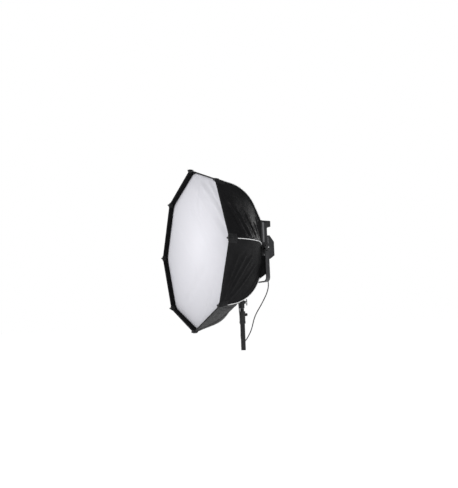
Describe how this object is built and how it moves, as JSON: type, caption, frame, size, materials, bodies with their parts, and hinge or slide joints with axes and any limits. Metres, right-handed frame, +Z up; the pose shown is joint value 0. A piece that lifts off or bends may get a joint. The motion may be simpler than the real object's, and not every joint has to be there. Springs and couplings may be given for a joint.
{
  "type": "studio softbox",
  "caption": "Octagonal fabric softbox with a recessed white diffuser on an LED panel light, held in a tilting U-yoke on the top of a stand column, with its mains cord.",
  "frame": {"origin": "centre of the stand column's lower end, on the column's axis", "axes": "+Z up along the column, the softbox's open front faces -Y, +X is along the tilt axis"},
  "size_m": [1.2036, 0.5931, 1.348],
  "materials": {
    "black_fabric": "woven nylon, matt",
    "diffusion_fabric": "white diffusion cloth",
    "white_piping": "woven piping",
    "hook_tape": "hook and loop tape",
    "webbing": "woven strap",
    "rod": "spring steel",
    "black_metal": "black powder coat",
    "grey_metal": "bead blasted",
    "black_alloy": "black powder coat",
    "steel": "satin",
    "black_tube": "black anodised",
    "black_plastic": "fine grain",
    "rubber": "matt",
    "window": "diffusing window",
    "display": "gloss"
  },
  "bodies": {
    "stand": {"column_tube": "black_tube", "riser_collar": "black_metal"},
    "collar_lock": {"collar_knob": "black_plastic"},
    "riser": {"riser_tube": "black_tube", "riser_spigot": "steel"},
    "yoke": {"yoke_receiver": "black_metal", "yoke_bar": "grey_metal", "yoke_bolt": "steel", "mains_cord": "rubber", "cord_coil": "rubber", "coil_strap": "webbing", "mains_plug": "rubber"},
    "receiver_lock": {"receiver_knob": "steel"},
    "head": {"pivot_brackets": "black_alloy", "panel_housing": "grey_metal", "led_window": "window", "top_brackets": "black_alloy", "heat_sink": "black_tube", "rear_housing": "black_alloy", "display_window": "display", "rocker_bezel": "black_plastic", "cord_gland": "black_plastic", "cord_boot": "rubber"},
    "tilt_lock_right": {"tilt_knob_right": "black_plastic"},
    "tilt_lock_left": {"tilt_knob_left": "black_plastic"},
    "dimmer": {"dimmer_knob": "black_plastic"},
    "menu_1": {"menu_button_1": "rubber"},
    "menu_2": {"menu_button_2": "rubber"},
    "power_switch": {"power_rocker": "black_plastic"},
    "softbox": {"softbox_frame": "black_alloy", "shell_panel_1": "black_fabric", "shell_panel_2": "black_fabric", "shell_panel_3": "black_fabric", "shell_panel_4": "black_fabric", "shell_panel_5": "black_fabric", "shell_panel_6": "black_fabric", "shell_panel_7": "black_fabric", "shell_panel_8": "black_fabric", "corner_ribs": "rod", "side_ribs": "rod", "upright_ribs": "rod", "rib_sockets": "black_alloy", "front_hem": "black_fabric", "corner_pockets": "black_fabric", "rib_tips": "rubber", "seam_piping": "white_piping", "shell_loop_ledge": "hook_tape"},
    "diffuser": {"diffuser_panel": "diffusion_fabric", "diffuser_hook_band": "hook_tape"}
  },
  "joints": [
    {"name": "riser_slide", "type": "slide", "parent": "stand", "child": "riser", "axis": [0, 0, 1], "range_m": [-0.02, 0.08]},
    {"name": "collar_lock_turn", "type": "hinge", "parent": "stand", "child": "collar_lock", "pos_m": [0, 0.03, 0.262], "axis": [0, 1, 0], "range_deg": [-180, 180]},
    {"name": "yoke_pan", "type": "hinge", "parent": "riser", "child": "yoke", "pos_m": [0, 0, 0.4], "axis": [0, 0, 1], "range_deg": [-180, 180]},
    {"name": "receiver_lock_turn", "type": "hinge", "parent": "yoke", "child": "receiver_lock", "pos_m": [0, 0.03, 0.355], "axis": [0, 1, 0], "range_deg": [-180, 180]},
    {"name": "head_tilt", "type": "hinge", "parent": "yoke", "child": "head", "pos_m": [0, 0, 0.725], "axis": [1, 0, 0], "range_deg": [-75, 3], "deforming": ["mains_cord"]},
    {"name": "tilt_lock_right_turn", "type": "hinge", "parent": "yoke", "child": "tilt_lock_right", "pos_m": [0.4, 0, 0.725], "axis": [1, 0, 0], "range_deg": [-180, 180]},
    {"name": "tilt_lock_left_turn", "type": "hinge", "parent": "yoke", "child": "tilt_lock_left", "pos_m": [-0.4, 0, 0.725], "axis": [-1, 0, 0], "range_deg": [-180, 180]},
    {"name": "dimmer_turn", "type": "hinge", "parent": "head", "child": "dimmer", "pos_m": [0.11, 0.158, 0.74], "axis": [0, 1, 0], "range_deg": [-150, 150]},
    {"name": "menu_1_press", "type": "slide", "parent": "head", "child": "menu_1", "axis": [0, -1, 0], "range_m": [0, 0.0015], "stiffness_N_per_m": 400},
    {"name": "menu_2_press", "type": "slide", "parent": "head", "child": "menu_2", "axis": [0, -1, 0], "range_m": [0, 0.0015], "stiffness_N_per_m": 400},
    {"name": "power_rock", "type": "hinge", "parent": "head", "child": "power_switch", "pos_m": [0.18, 0.1565, 0.74], "axis": [1, 0, 0], "range_deg": [-6, 6]},
    {"name": "softbox_release", "type": "slide", "parent": "head", "child": "softbox", "axis": [0, -1, 0], "range_m": [0, 0.15]},
    {"name": "diffuser_release", "type": "slide", "parent": "softbox", "child": "diffuser", "axis": [0, -1, 0], "range_m": [0, 0.12]}
  ]
}
